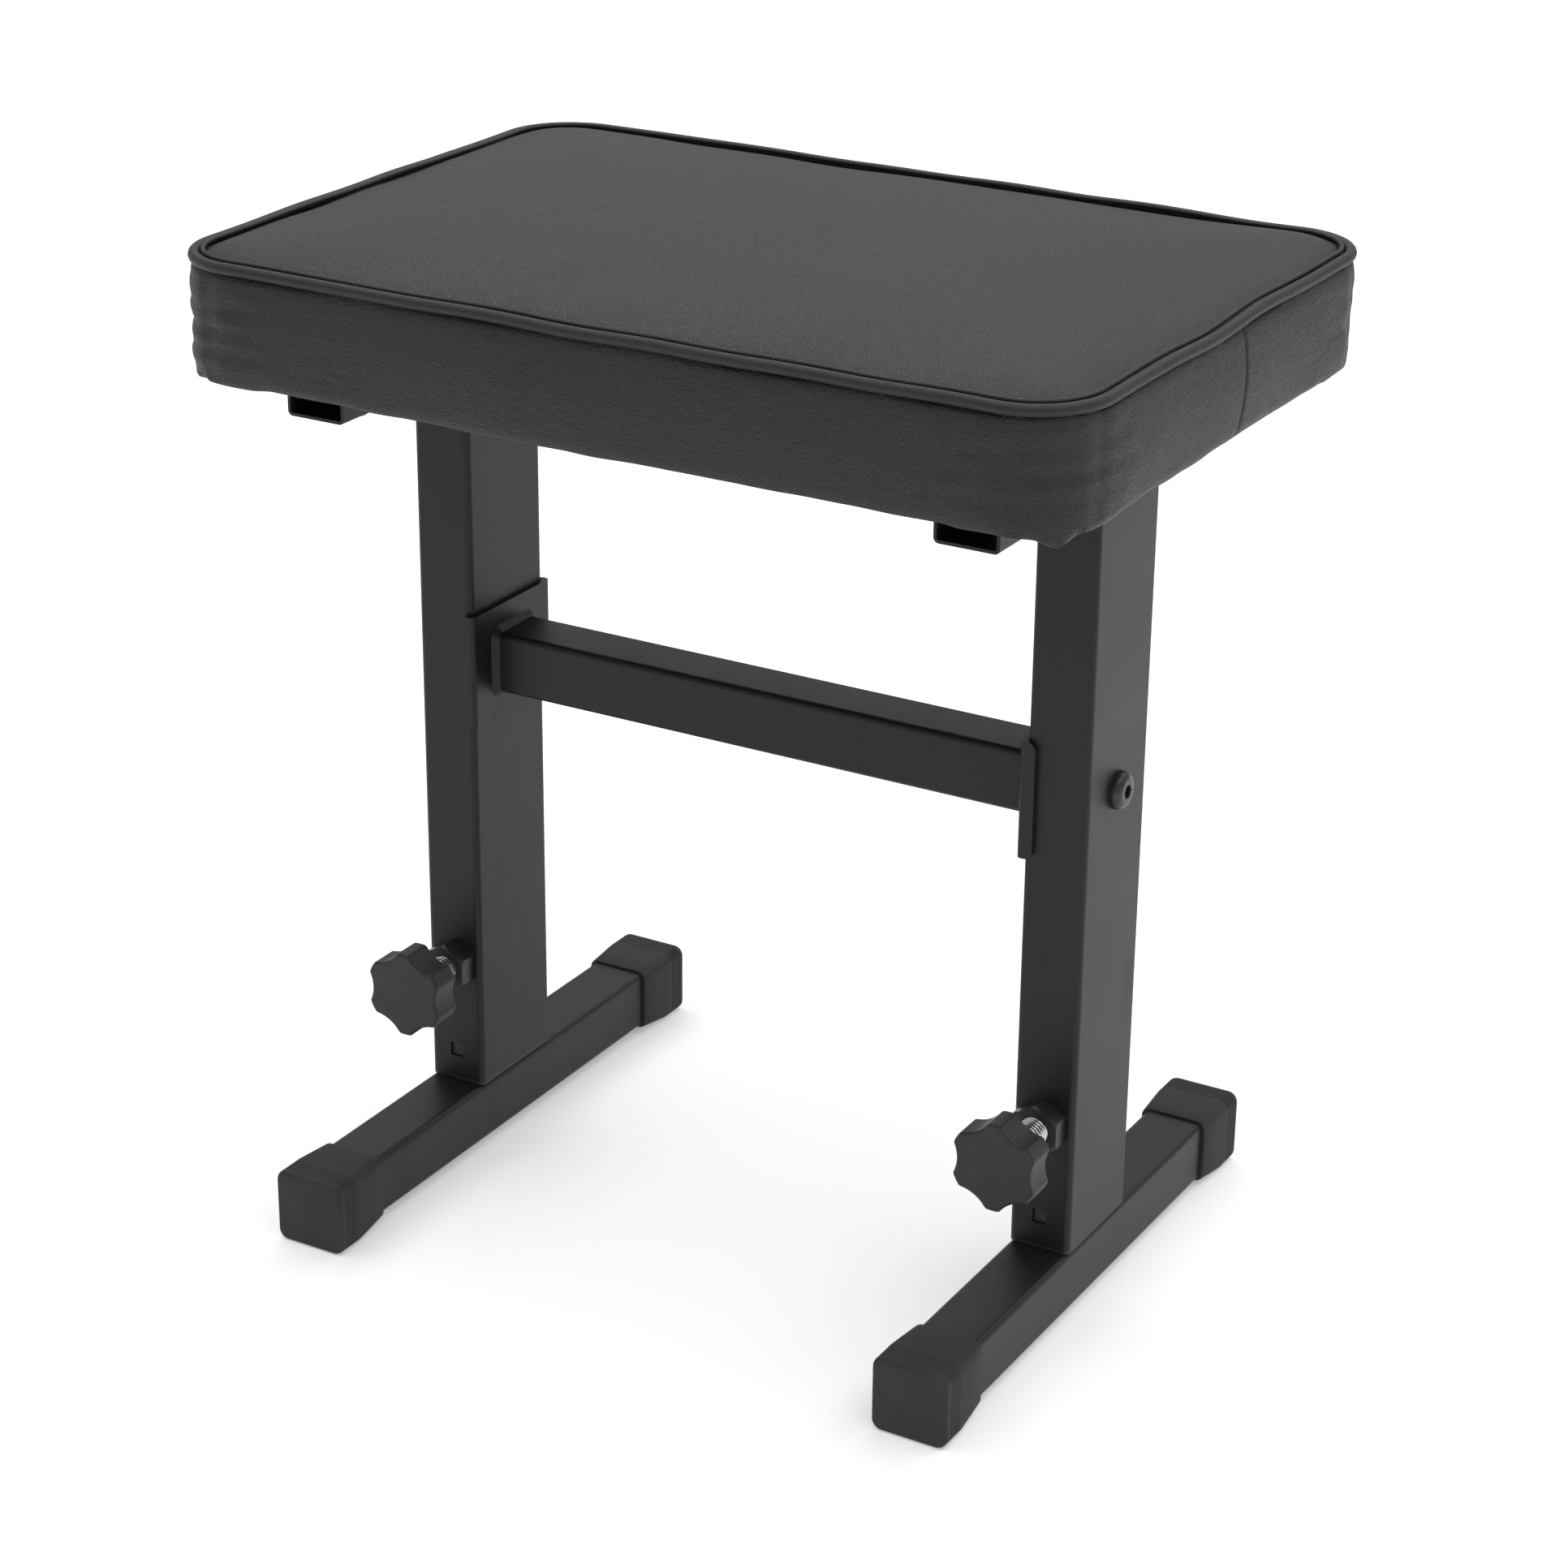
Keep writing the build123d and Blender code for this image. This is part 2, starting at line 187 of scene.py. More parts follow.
def knobPlastic():
    # satin moulded plastic with a spark-eroded texture
    shader = Shader("knobPlastic")
    fine = shader.grain(4200, 2)
    worn = shader.between(shader.grain(120, 4), 0.45, 0.8)
    return shader.surface({
        "Base Color": shader.tint(worn, grey(0.018), grey(0.024)),
        "Roughness": 0.44 - worn * 0.06 + fine * 0.08,
        "Specular IOR Level": 0.36,
        "Normal": shader.bump(fine, 0.00005),
    })


def guideNylon():
    shader = Shader("guideNylon")
    fine = shader.grain(2400, 2)
    return shader.surface({
        "Base Color": shader.tint(fine, grey(0.012), grey(0.02)),
        "Roughness": 0.5 + fine * 0.1,
        "Normal": shader.bump(fine, 0.00003),
    })


leather = {"dark": 0.013, "light": 0.018, "roughness": 0.46, "pebble": 620, "pore": 1900, "crease": 210}


def leatherette(name, emboss):
    # embossed black leatherette: pebbles between fine creases, pores, and soft mottling, with painted shade
    # darkening the grooves between the pebbles
    shader = Shader(name)
    drift = shader.grain(240, 3)
    warped = shader.node("ShaderNodeVectorMath", {"operation": "MULTIPLY_ADD"}, {
        0: shader.node("ShaderNodeTexNoise", {}, {"Vector": shader.place, "Scale": 300.0}, "Color"),
        1: (0.0022, 0.0022, 0.0022), 2: shader.place})
    pebbles = shader.between(shader.cells(leather["pebble"], warped), 0.0, 0.22)
    pores = shader.grain(leather["pore"], 3)
    crease = shader.grain(leather["crease"], 4, shader.stretched((0.55, 0.55, 1.6)))
    mottle = shader.grain(9, 5)
    base = shader.tint(mottle, grey(leather["dark"]), grey(leather["light"]))
    # painted shade: the colour is darkened in the grooves between the pebbles
    base = shader.tint((1 - pebbles) * 0.4, base, grey(leather["dark"] * 0.6))
    patches = shader.between(shader.grain(14, 3), 0.42, 0.62)
    pebbled = shader.bump(pebbles, 0.00018 * emboss)
    relief = shader.bump(crease * (0.35 + patches * 0.65), 0.0011 * emboss, pebbled)
    return shader.surface({
        "Base Color": base,
        "Roughness": leather["roughness"] + (mottle - 0.5) * 0.12 + (1 - pebbles) * 0.12 + drift * 0.05,
        "Specular IOR Level": 0.4,
        "Normal": shader.bump(pores, 0.00006 * emboss, relief),
    })


def rawPlywood():
    # the seat board: long grain with darker growth bands
    shader = Shader("rawPlywood")
    bands = shader.grain(30, 6, shader.stretched((0.12, 1, 1)))
    fibre = shader.grain(900, 3, shader.stretched((0.05, 1, 1)))
    base = shader.tint(bands, (0.52, 0.36, 0.2, 1), (0.7, 0.53, 0.34, 1))
    return shader.surface({
        "Base Color": base, "Roughness": 0.68 + fibre * 0.12, "Normal": shader.bump(fibre, 0.0001)})


def cutFoam():
    shader = Shader("cutFoam")
    pores = shader.cells(900, shader.place, "F1")
    base = shader.tint(pores, (0.75, 0.7, 0.52, 1), (0.6, 0.56, 0.42, 1))
    return shader.surface({
        "Base Color": base, "Roughness": 0.9 + pores * 0.05, "Normal": shader.bump(pores, 0.0003)})


def dustCloth():
    # black non-woven cloth, with its grid of spot bonds
    shader = Shader("dustCloth")
    fibres = shader.grain(1400, 5)
    bonds = shader.between(shader.cells(420, shader.place, "F1"), 0.1, 0.4)
    base = shader.tint(fibres, grey(0.012), grey(0.03))
    cloth = shader.bump(bonds + fibres * 0.5, 0.00012)
    return shader.surface({"Base Color": base, "Roughness": 0.86 + fibres * 0.1, "Normal": cloth})


finishes = {
    "steel": powderCoat(),
    "nut": blackSteel(),
    "zinc": brightZinc(),
    "rubber": capRubber(),
    "knob": knobPlastic(),
    "nylon": guideNylon(),
    "leather": leatherette("leatherette", 1.0),
    "welt": leatherette("weltLeatherette", 0.35),
    "plywood": rawPlywood(),
    "foam": cutFoam(),
    "cloth": dustCloth(),
}


def nodeFinish(name):
    # which finish a node that stays on show wears
    ends = (("_cap", "rubber"), ("_knob", "knob"), ("_guide", "nylon"), ("_bush", "nylon"),
            ("_nut", "nut"), ("_bolt", "nut"), ("_screw", "zinc"), ("_screws", "zinc"),
            ("_washers", "zinc"), ("_nuts", "zinc"), ("_insert", "zinc"), ("_staples", "zinc"),
            ("_board", "plywood"), ("_foam", "foam"))
    for end, finish in ends:
        if name.endswith(end):
            return finishes[finish]
    if name.startswith("dust"):
        return finishes["cloth"]
    if name.startswith("seat_") or name.startswith("cover_"):
        return finishes["leather"]
    return finishes["steel"]


for nodeName, node in nodes.items():
    node.data.materials.clear()
    node.data.materials.append(nodeFinish(nodeName))
print("finishes on the frame's nodes")


# Shared modelling steps

def asObject(shape, name, finish, smooth=True):
    bmesh.ops.remove_doubles(shape, verts=shape.verts, dist=1e-6)
    bmesh.ops.recalc_face_normals(shape, faces=shape.faces)
    mesh = bpy.data.meshes.new(name)
    shape.to_mesh(mesh)
    shape.free()
    for face in mesh.polygons:
        face.use_smooth = smooth
    made = bpy.data.objects.new(name, mesh)
    bpy.context.collection.objects.link(made)
    mesh.materials.append(finish)
    return made


def install(piece, body, slotName, *replaced):
    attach(piece, body)
    if replaced:
        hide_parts(*replaced)


def only(piece):
    bpy.ops.object.select_all(action="DESELECT")
    piece.select_set(True)
    bpy.context.view_layer.objects.active = piece


def sharpen(piece, angle):
    # smooth shading that still breaks at real edges
    only(piece)
    bpy.ops.object.shade_smooth_by_angle(angle=math.radians(angle))


def roundedFace(shape, width, height, radius, segments=6):
    # a flat rounded rectangle round the origin, facing up
    bmesh.ops.create_grid(shape, x_segments=1, y_segments=1, size=0.5)
    bmesh.ops.scale(shape, vec=(width, height, 1), verts=shape.verts)
    bmesh.ops.bevel(shape, geom=list(shape.verts), offset=radius, offset_type="OFFSET", affect="VERTICES",
                    segments=segments, profile=0.5, material=-1)
    return shape.faces[:]


def nextSection(shape, face, move, size=(1, 1, 1)):
    # extrudes a face along and resizes it about its own middle
    grown = bmesh.ops.extrude_face_region(shape, geom=[face])
    fresh = [part for part in grown["geom"] if isinstance(part, bmesh.types.BMFace)][0]
    bmesh.ops.delete(shape, geom=[face], context="FACES_ONLY")
    bmesh.ops.translate(shape, vec=move, verts=fresh.verts)
    middle = fresh.calc_center_bounds()
    bmesh.ops.scale(shape, vec=size, space=Matrix.Translation(-middle), verts=fresh.verts)
    return fresh


# Seat cushion: a top panel and a side band over foam, pulled down at the welt

cushion = {
    "corner": 0.038,         # plan radius
    "start": 0.0015,         # how much smaller the block starts than the finished cushion
    "voxel": 0.005,
    "panelInset": 0.022,     # width of the slope from the welt up to the panel
    "weltHeight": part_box("seat_piping")[0].z + 0.003,
    "pressure": 4.0,
    "swellMost": 0.006,
    "crown": 0.0048,         # rise of the panel just inside the welt
    "hem": 0.026,            # covering turned in under the board
    "droop": 0.0044,         # the pleat under the front right corner, where the covering is gathered
    "sag": 0.001,            # of the band's bottom edge, halfway along a side
    "seamPlace": 0.007,
    "seamLoops": 0.0007,     # spacing of the extra loops that carry the seam
    "seamDepth": 0.0011,
}
bandLow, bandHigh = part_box("seat_cover_band")
halfLength, halfDepth = bandHigh.x, bandHigh.y


def edgeDistance(x, y):
    # how far a point in plan is inside the seat's outline
    radius = cushion["corner"]
    dx = abs(x) - (halfLength - radius)
    dy = abs(y) - (halfDepth - radius)
    if dx > 0 and dy > 0:
        return radius - math.hypot(dx, dy)
    return radius - max(dx, dy)


def cornerShare(x, y, spread=0.03):
    # 1 in the middle of a rounded corner, fading along the straight sides
    dx = (halfLength - abs(x)) / (cushion["corner"] + spread)
    dy = (halfDepth - abs(y)) / (cushion["corner"] + spread)
    return max(0.0, 1 - dx) * max(0.0, 1 - dy) * 4


swelling = {"frames": 20, "quality": 5, "stretch": 40, "bend": 4}


def swell(piece, pinned):
    # blows the covering up against its pinned seams, then keeps what stays within the cap
    group = piece.vertex_groups.new(name="seams")
    for index, weight in pinned:
        group.add([index], weight, "REPLACE")
    before = [vertex.co.copy() for vertex in piece.data.vertices]
    cloth = piece.modifiers.new("swell", "CLOTH")
    cloth.settings.vertex_group_mass = group.name
    cloth.settings.use_pressure = True
    cloth.settings.uniform_pressure_force = cushion["pressure"]
    cloth.settings.effector_weights.gravity = 0
    cloth.settings.quality = swelling["quality"]
    cloth.settings.tension_stiffness = swelling["stretch"]
    cloth.settings.compression_stiffness = swelling["stretch"]
    cloth.settings.bending_stiffness = swelling["bend"]
    cloth.point_cache.frame_start = 1
    cloth.point_cache.frame_end = swelling["frames"]
    scene = bpy.context.scene
    for step in range(1, swelling["frames"] + 1):
        scene.frame_set(step)
    settled = piece.evaluated_get(bpy.context.evaluated_depsgraph_get())
    after = [vertex.co.copy() for vertex in settled.data.vertices]
    piece.modifiers.clear()
    scene.frame_set(1)
    piece.vertex_groups.clear()
    for vertex, old, new in zip(piece.data.vertices, before, after):
        move = new - old
        if move.length > cushion["swellMost"]:
            move = move * (cushion["swellMost"] / move.length)
        vertex.co = old + move


def cushionBlock():
    shape = bmesh.new()
    inset = cushion["start"]
    low = bandLow.z
    width, depth = 2 * (halfLength - inset), 2 * (halfDepth - inset)
    bottom = roundedFace(shape, width, depth, cushion["corner"] - inset, 8)[0]
    bmesh.ops.translate(shape, vec=(0, 0, low), verts=shape.verts)
    grown = bmesh.ops.extrude_face_region(shape, geom=[bottom], use_keep_orig=True)
    top = [part for part in grown["geom"] if isinstance(part, bmesh.types.BMFace)][0]
    bmesh.ops.translate(shape, vec=(0, 0, cushion["weltHeight"] - low), verts=top.verts)
    bmesh.ops.inset_region(shape, faces=[top], thickness=cushion["panelInset"], depth=cushion["crown"])
    block = asObject(shape, "seatCushion", finishes["leather"])
    remesh = block.modifiers.new("remesh", "REMESH")
    remesh.mode = "VOXEL"
    remesh.voxel_size = cushion["voxel"]
    only(block)
    bpy.ops.object.modifier_apply(modifier="remesh")
    return block


def pinnedSeams(block):
    pinned = []
    for vertex in block.data.vertices:
        x, y, z = vertex.co
        inside = edgeDistance(x, y)
        atWelt = max(0.0, 1 - math.hypot(inside - cushion["start"], z - cushion["weltHeight"]) / 0.009)
        underneath = 1.0 if z < bandLow.z + 0.004 else 0.0
        weight = max(atWelt, underneath)
        if weight > 0:
            pinned.append((vertex.index, min(1.0, weight * 1.4)))
    return pinned


def ripple(point, size, seed):
    return noise.noise(Vector((point.x / size + seed, point.y / size, point.z / size)))


# each wave in the covering: how long, where in the noise, how high
waves = {
    "slow": (0.075, 3.1, 0.0012),
    "tuck": (0.022, 7.7, 0.0009),
    "fold": (0.03, 5.0, 1.0),
    "edge": (0.06, 1.3, 0.0026),
    "panel": (0.16, 9.2, 0.0009),
    "hem": (0.026, 4.4, 0.001),
}


def wave(point, name):
    size, seed, height = waves[name]
    return ripple(point, size, seed) * height


def bell(value, middle, width):
    return math.exp(-((value - middle) / width) ** 2)


def aroundCorner(point):
    # degrees round a rounded corner, from its side end to its front or rear end, and whether it is on one
    dx = abs(point.x) - (halfLength - cushion["corner"])
    dy = abs(point.y) - (halfDepth - cushion["corner"])
    return math.degrees(math.atan2(dy, dx)), dx > -0.002 and dy > -0.002


def seamDepth(point):
    # the band is sewn from two strips that meet halfway along each end
    onEnd = abs(point.x) > halfLength - cushion["corner"] / 2
    return cushion["seamDepth"] * bell(point.y, cushion["seamPlace"], 0.0009) if onEnd else 0.0


def creaseDepth(point):
    # an upright crease where the covering turns into and out of a corner
    angle, onCorner = aroundCorner(point)
    return 0.0009 * (bell(angle, 12, 7) + bell(angle, 74, 8)) if onCorner else 0.0


def pleatTip(point):
    angle, onCorner = aroundCorner(point)
    droop = cushion["droop"] if point.x > 0 and point.y < 0 else cushion["droop"] * 0.4
    return droop * bell(angle, 42, 11) if onCorner else 0.0


# the close folds where the band turns a left or a right corner
gathers = {"pitch": 0.0032, "mean": 0.64, "left": 0.0011, "right": 0.0004}
# the groove that the stitching makes in the panel, beside the welt
stitched = {"inside": 0.009, "width": 0.006, "depth": 0.0009}
# the valley that the welt sits in
valley = {"inside": 0.0028, "width": 0.0042, "depth": 0.0016}


def dressCushion(piece):
    # soft waves, gathered corners, the welt's valley and the turned-in hem
    normals = [vertex.normal.copy() for vertex in piece.data.vertices]
    weltZ = cushion["weltHeight"]
    for vertex, normal in zip(piece.data.vertices, normals):
        point = vertex.co
        inside = edgeDistance(point.x, point.y)
        corner = min(1.0, cornerShare(point.x, point.y))
        onBand = max(0.0, 1 - abs(normal.z) * 1.4)
        height = (point.z - bandLow.z) / (weltZ - bandLow.z)
        move = Vector((0, 0, 0))
        if onBand > 0:
            slow = wave(point, "slow")
            tuck = wave(Vector((point.x, point.y, point.z * 3.2)), "tuck") * corner
            gather = abs(math.sin(point.z / gathers["pitch"] + wave(point, "fold"))) - gathers["mean"]
            folds = gather * corner * (gathers["left"] if point.x < 0 else gathers["right"])
            sewn = seamDepth(point) + creaseDepth(point)
            hold = min(1.0, height * 5) * min(1.0, (1.02 - height) * 6)
            move += normal * onBand * ((slow + tuck + folds) * max(0.0, hold) - sewn)
        if normal.z > 0.5 and point.z > weltZ - 0.002:
            pull = max(0.0, 1 - inside / 0.03)
            waved = wave(point, "edge") * pull + wave(point, "panel")
            across = abs(inside - stitched["inside"]) / stitched["width"]
            move.z += waved - stitched["depth"] * max(0.0, 1 - across)
        away = (inside - valley["inside"]) ** 2 + (point.z - weltZ) ** 2
        move -= normal * valley["depth"] * math.exp(-away / valley["width"] ** 2)
        # the band's bottom edge hangs a little between the corners, and a pleat droops at each corner
        if height < 0.35 and onBand + abs(normal.z) > 0.2 and inside < 0.02:
            sag = cushion["sag"] * (1 - (point.x / halfLength) ** 2) + wave(point, "hem")
            pleat = 0.0012 * max(0.0, corner - 0.55) / 0.45 + pleatTip(point)
            move.z -= (sag + pleat) * (1 - height / 0.35)
        vertex.co = point + move
        if normal.z < -0.5 and inside > cushion["hem"]:
            vertex.co.z = bandLow.z + 0.0032


def everyPart(shape):
    return shape.verts[:] + shape.edges[:] + shape.faces[:]


def nearSeam(part):
    points = [part.co] if isinstance(part, bmesh.types.BMVert) else [vertex.co for vertex in part.verts]
    return all(abs(point.x) > halfLength - 0.02 for point in points)


def seatCushion():
    block = cushionBlock()
    swell(block, pinnedSeams(block))
    shape = bmesh.new()
    shape.from_mesh(block.data)
    bmesh.ops.subdivide_edges(shape, edges=shape.edges, cuts=1, use_grid_fill=True)
    bmesh.ops.smooth_vert(shape, verts=shape.verts, factor=0.5, use_axis_x=True, use_axis_y=True,
                          use_axis_z=True)
    for step in (-2, -1, 0, 1, 2):
        ends = [part for part in everyPart(shape) if nearSeam(part)]
        cut = (0, cushion["seamPlace"] + step * cushion["seamLoops"], 0)
        bmesh.ops.bisect_plane(shape, geom=ends, plane_co=cut, plane_no=(0, 1, 0))
    shape.to_mesh(block.data)
    shape.free()
    block.data.update()
    dressCushion(block)
    for face in block.data.polygons:
        face.use_smooth = True
    install(block, "seat_frame", "leatherette", "seat_foam", "seat_cover_top", "seat_cover_band")


seatCushion()
print("cushion sewn")


# Welt: a corded piping roll round the top edge, and the thin fold of the seam inside it

welt = {
    "roll": {"inset": 0.0034, "rise": 0.0, "radius": 0.0027},
    "fold": {"inset": 0.0074, "rise": 0.0022, "radius": 0.0011},
    "spacing": 0.006,
    "wander": 0.0011,
    "sideLeast": 0.05,       # edges longer than this are the straight sides
}


def weltRing(name, facts):
    shape = bmesh.new()
    roundedFace(shape, 2 * (halfLength - facts["inset"]), 2 * (halfDepth - facts["inset"]),
                cushion["corner"] - facts["inset"], 12)
    bmesh.ops.delete(shape, geom=shape.faces[:], context="FACES_ONLY")
    sides = [edge for edge in shape.edges if edge.calc_length() > welt["sideLeast"]]
    for edge in sides:
        cuts = int(edge.calc_length() / welt["spacing"])
        bmesh.ops.subdivide_edges(shape, edges=[edge], cuts=cuts)
    for vertex in shape.verts:
        point = vertex.co.copy()
        point.z = 0
        vertex.co.z = cushion["weltHeight"] + facts["rise"] + ripple(point, 0.055, 2.6) * welt["wander"]
        out = 1 + ripple(point, 0.06, 6.1) * welt["wander"] / halfDepth
        vertex.co.x *= out
        vertex.co.y *= out
    mesh = bpy.data.meshes.new(name + "Line")
    shape.to_mesh(mesh)
    shape.free()
    line = bpy.data.objects.new(name, mesh)
    bpy.context.collection.objects.link(line)
    only(line)
    bpy.ops.object.convert(target="CURVE")
    line = bpy.context.view_layer.objects.active
    line.data.bevel_depth = facts["radius"]
    line.data.bevel_resolution = 4
    bpy.ops.object.convert(target="MESH")
    line = bpy.context.view_layer.objects.active
    line.name = name
    shape = bmesh.new()
    shape.from_mesh(line.data)
    bmesh.ops.remove_doubles(shape, verts=shape.verts, dist=1e-6)
    bmesh.ops.recalc_face_normals(shape, faces=shape.faces)
    shape.to_mesh(line.data)
    shape.free()
    for face in line.data.polygons:
        face.use_smooth = True
    line.data.materials.clear()
    line.data.materials.append(finishes["welt"])
    return line


roll = weltRing("weltRoll", welt["roll"])
install(roll, "seat_frame", "leatherette", "seat_piping")
fold = weltRing("weltFold", welt["fold"])
install(fold, "seat_frame", "leatherette")
print("welt in place")


# Dust cover: non-woven cloth stapled flat under the board

dust = {
    "thickness": 0.0003,
    "slack": 0.0002,
    "slackLength": 0.03,
    "corner": 0.0098,
    "across": 64,
    "along": 48,
}


def dustSheet():
    low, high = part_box("dust_cover")
    width, depth = high.x - low.x, high.y - low.y
    shape = bmesh.new()
    bmesh.ops.create_grid(shape, x_segments=dust["across"], y_segments=dust["along"], size=0.5)
    bmesh.ops.scale(shape, vec=(width, depth, 1), verts=shape.verts)
    bmesh.ops.translate(shape, vec=(0, 0, (low.z + high.z) / 2), verts=shape.verts)
    for vertex in shape.verts:
        # draws the square corners in onto an arc
        dx = abs(vertex.co.x) - (width / 2 - dust["corner"])
        dy = abs(vertex.co.y) - (depth / 2 - dust["corner"])
        over = math.hypot(dx, dy) - dust["corner"]
        if dx > 0 and dy > 0 and over > 0:
            share = over / (over + dust["corner"])
            vertex.co.x -= math.copysign(dx * share, vertex.co.x)
            vertex.co.y -= math.copysign(dy * share, vertex.co.y)
        vertex.co.z += ripple(vertex.co, dust["slackLength"], 8.5) * dust["slack"]
    piece = asObject(shape, "dustSheet", finishes["cloth"])
    shell = piece.modifiers.new("thickness", "SOLIDIFY")
    shell.thickness = dust["thickness"]
    shell.offset = 0
    install(piece, "seat_frame", "dust_cloth", "dust_cover")


dustSheet()
print("dust cover on")


# Rubber caps on the foot tubes

cap = {
    "width": 0.037,
    "mouthWidth": 0.034,
    "mouthWall": 0.0015,
    "corner": 0.0052,
    "edge": 0.0024,
    "ribs": 4,
    "ribStart": 0.0046,
    "ribPitch": 0.0023,
    "ribDepth": 0.00042,
    "shoulder": 0.12,        # shares of the length from the last rib to the mouth
    "slope": (0.4, 0.46),
    "firstSlope": 0.45,      # share of the narrowing in the first slope
    "lipLength": 0.02,
    "lipSize": 0.978,
    "inward": 0.3,           # how far the mouth's inside runs back, as a share of the cap's length
}


def capRibs(shape, face):
    # shallow grooves round the closed end, and how far they reach
    shrink = 1 - 2 * cap["ribDepth"] / cap["width"]
    quarter = cap["ribPitch"] / 4
    for rib in range(cap["ribs"]):
        face = nextSection(shape, face, (0, 0, quarter), (shrink, shrink, 1))
        face = nextSection(shape, face, (0, 0, quarter), (1 / shrink, 1 / shrink, 1))
        face = nextSection(shape, face, (0, 0, 2 * quarter))
    return face, cap["ribStart"] + cap["ribs"] * cap["ribPitch"]


def footCap(side, end):
    nodeName = f"{side}_{end}_cap"
    low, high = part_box(nodeName)
    tubeLow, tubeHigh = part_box(f"{side}_foot_tube")
    length = high.y - low.y
    height = high.z - low.z
    shape = bmesh.new()
    face = roundedFace(shape, cap["width"], height, cap["corner"], 7)[0]
    grown = bmesh.ops.extrude_face_region(shape, geom=[face], use_keep_orig=True)
    face = [part for part in grown["geom"] if isinstance(part, bmesh.types.BMFace)][0]
    bmesh.ops.translate(shape, vec=(0, 0, cap["ribStart"]), verts=face.verts)
    face, ribEnd = capRibs(shape, face)

    # necks down to the mouth, which fits over the tube
    mouthHigh = tubeHigh.z + cap["mouthWall"]
    mouthLow = tubeLow.z - cap["mouthWall"]
    mouthHeight = mouthHigh - mouthLow
    rise = (mouthHigh + mouthLow) / 2 - height / 2
    reach = length - ribEnd
    first = cap["firstSlope"]
    narrow = cap["mouthWidth"] / cap["width"]
    lower = mouthHeight / height
    halfway = (1 - (1 - narrow) * first, 1 - (1 - lower) * first)
    face = nextSection(shape, face, (0, 0, reach * cap["shoulder"]))
    face = nextSection(shape, face, (0, rise * first, reach * cap["slope"][0]), (halfway[0], halfway[1], 1))
    narrowing = (narrow / halfway[0], lower / halfway[1], 1)
    face = nextSection(shape, face, (0, rise * (1 - first), reach * cap["slope"][1]), narrowing)
    lip = cap["lipSize"]
    face = nextSection(shape, face, (0, 0, reach * cap["lipLength"]), (lip, lip, 1))
    tubeSide = tubeHigh.z - tubeLow.z
    opening = (tubeSide / (cap["mouthWidth"] * lip), tubeSide / (mouthHeight * lip), 1)
    face = nextSection(shape, face, (0, 0, 0), opening)
    nextSection(shape, face, (0, 0, -length * cap["inward"]))

    rim = [edge for edge in shape.edges if all(vertex.co.z < 1e-6 for vertex in edge.verts)]
    bmesh.ops.bevel(shape, geom=rim, offset=cap["edge"], offset_type="OFFSET", affect="EDGES", segments=5,
                    profile=0.5, material=-1)
    # closed end at the origin and the mouth up, so turn it down along the foot
    turn = Matrix.Rotation(math.radians(90), 4, "X")
    if end == "front":
        turn = Matrix.Rotation(math.pi, 4, "Z") @ turn
    outer = low.y if end == "front" else high.y
    place = Matrix.Translation(((low.x + high.x) / 2, outer, height / 2 + low.z)) @ turn
    bmesh.ops.transform(shape, matrix=place, verts=shape.verts)
    piece = asObject(shape, f"{side}{end.capitalize()}Cap", finishes["rubber"])
    sharpen(piece, 40)
    install(piece, f"{side}_leg", "cap_rubber", nodeName)


for sideName in sideNames:
    for endName in endNames:
        footCap(sideName, endName)
print("caps on the feet")


# Hand screws: a rolled thread with a plain point

thread = {
    "pitch": 0.002,
    "crest": 0.0069,
    "root": 0.0058,
    "flat": 0.00025,
    "steps": 40,
    "point": 0.0047,
    "pointLength": 0.0045,
    "pointEdge": 0.0008,
}


def trim(shape, height, up):
    # cuts off what lies beyond a height, upwards or downwards
    bmesh.ops.bisect_plane(shape, geom=everyPart(shape), plane_co=(0, 0, height), plane_no=(0, 0, up),
                           clear_outer=True)


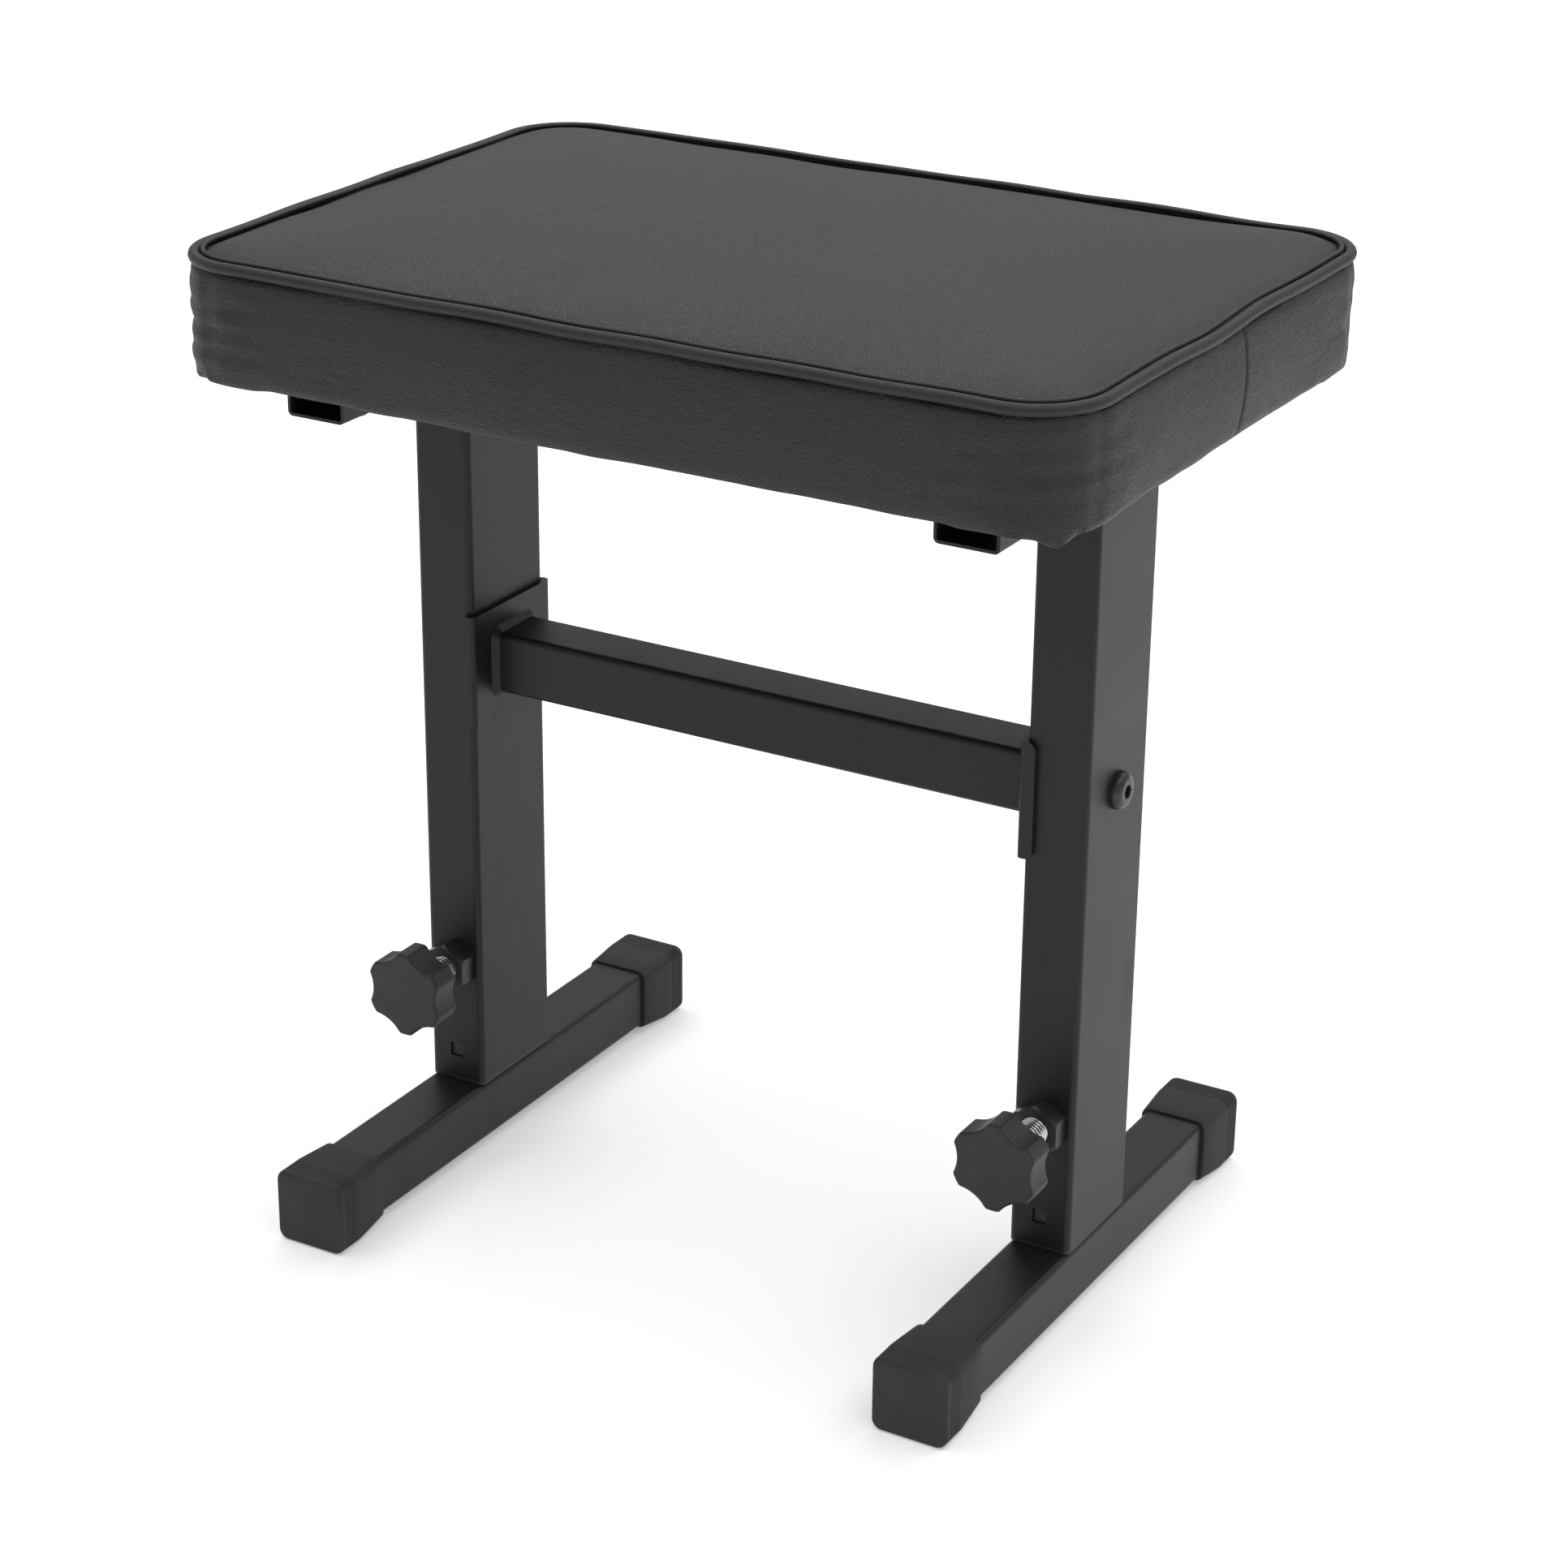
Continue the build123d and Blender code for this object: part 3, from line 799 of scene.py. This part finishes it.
def handScrew(side):
    nodeName = f"{side}_index_screw"
    low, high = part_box(nodeName)
    middle = (low + high) / 2
    length = high.y - low.y - thread["pointLength"]
    turns = int(length / thread["pitch"])
    shape = bmesh.new()
    # one tooth, root to root, drawn up the Z axis
    pitch, crest, root, flat = thread["pitch"], thread["crest"], thread["root"], thread["flat"]
    tooth = [(root, 0), (crest, pitch / 2 - flat), (crest, pitch / 2 + flat),
             (root, pitch - flat * 0.5), (root, pitch)]
    dots = [shape.verts.new((radius, 0, height)) for radius, height in tooth]
    strips = [shape.edges.new(pair) for pair in zip(dots, dots[1:])]
    bmesh.ops.spin(shape, geom=dots + strips, cent=(0, 0, 0), axis=(0, 0, 1),
                   dvec=(0, 0, pitch / thread["steps"]), angle=math.tau * turns,
                   steps=thread["steps"] * turns, use_merge=False, use_duplicate=False)
    bmesh.ops.remove_doubles(shape, verts=shape.verts, dist=pitch / 50)
    trim(shape, pitch, -1)
    trim(shape, pitch * turns, 1)
    bmesh.ops.holes_fill(shape, edges=[edge for edge in shape.edges if edge.is_boundary], sides=0)
    bmesh.ops.translate(shape, vec=(0, 0, -pitch * 0.5), verts=shape.verts)
    # the plain point, below the thread
    tip = bmesh.ops.create_cone(shape, cap_ends=True, segments=48, radius1=thread["point"],
                                radius2=thread["point"], depth=thread["pointLength"] + pitch)
    bmesh.ops.translate(shape, vec=(0, 0, (pitch - thread["pointLength"]) / 2), verts=tip["verts"])
    lowest = min(vertex.co.z for vertex in tip["verts"])
    rim = [edge for edge in shape.edges if all(vertex.co.z < lowest + 1e-6 for vertex in edge.verts)]
    bmesh.ops.bevel(shape, geom=rim, offset=thread["pointEdge"], offset_type="OFFSET", affect="EDGES",
                    segments=2, profile=0.5, material=-1)
    # up becomes forwards, and the point's tip goes to the node's rear end
    turn = Matrix.Rotation(math.radians(90), 4, "X")
    place = Matrix.Translation((middle.x, high.y - thread["pointLength"], middle.z)) @ turn
    bmesh.ops.transform(shape, matrix=place, verts=shape.verts)
    piece = asObject(shape, f"{side}HandScrew", finishes["zinc"])
    sharpen(piece, 35)
    install(piece, f"{side}_index_screw", "zinc_steel", nodeName)


for sideName in sideNames:
    handScrew(sideName)
print("hand screws cut")


# Room, light and camera

studio = {
    "floorSize": 40,
    "world": 0.5,
    "tableGlow": 0.3,
    "key": {"place": (2.6, 0.5, 1.4), "target": (0, 0, 0.3), "size": (1.8, 1.8), "power": 3},
    "top": {"place": (0, 0.6, 3.2), "target": (0, 0, 0), "size": (6.0, 6.0), "power": 150},
}


def studioPaper():
    shader = Shader("studioPaper")
    faint = shader.grain(3, 2)
    # lit a little from below, like a light table, so that hardly a shadow shows
    return shader.surface({"Base Color": shader.tint(faint, grey(0.86), grey(0.88)), "Roughness": 0.9,
                           "Emission Color": grey(1.0), "Emission Strength": studio["tableGlow"]})


def softPanel(name, facts):
    data = bpy.data.lights.new(name, "AREA")
    data.shape = "RECTANGLE"
    data.size, data.size_y = facts["size"]
    data.energy = facts["power"]
    lamp = bpy.data.objects.new(name, data)
    lamp.location = facts["place"]
    aim = Vector(facts["target"]) - Vector(facts["place"])
    lamp.rotation_euler = aim.to_track_quat("-Z", "Y").to_euler()
    bpy.context.collection.objects.link(lamp)


def room():
    shape = bmesh.new()
    bmesh.ops.create_grid(shape, x_segments=8, y_segments=8, size=studio["floorSize"] / 2)
    floor = asObject(shape, "studioFloor", studioPaper())
    world = bpy.data.worlds.new("studioWorld")
    world.use_nodes = True
    background = world.node_tree.nodes["Background"]
    background.inputs["Color"].default_value = (1, 1, 1, 1)
    background.inputs["Strength"].default_value = studio["world"]
    bpy.context.scene.world = world
    softPanel("keyPanel", studio["key"])
    softPanel("topPanel", studio["top"])
    bpy.context.scene.view_settings.view_transform = "Standard"


# degrees, and millimetres for the lens and the sensor
camera = {
    "place": (0.8025, -1.3849, 0.8989),
    "azimuth": 29.877,
    "pitch": 23.064,
    "roll": 0.601,
    "lens": 86.45,
    "sensor": 36,
}


def standCamera():
    data = bpy.data.cameras.new("benchCamera")
    data.lens = camera["lens"]
    data.sensor_width = camera["sensor"]
    made = bpy.data.objects.new("benchCamera", data)
    turn = Matrix.Rotation(math.radians(camera["azimuth"]), 4, "Z")
    turn = turn @ Matrix.Rotation(math.radians(90 - camera["pitch"]), 4, "X")
    turn = turn @ Matrix.Rotation(math.radians(camera["roll"]), 4, "Z")
    made.matrix_world = Matrix.Translation(camera["place"]) @ turn
    bpy.context.collection.objects.link(made)
    bpy.context.scene.camera = made


room()
standCamera()
print("room, light and camera set")
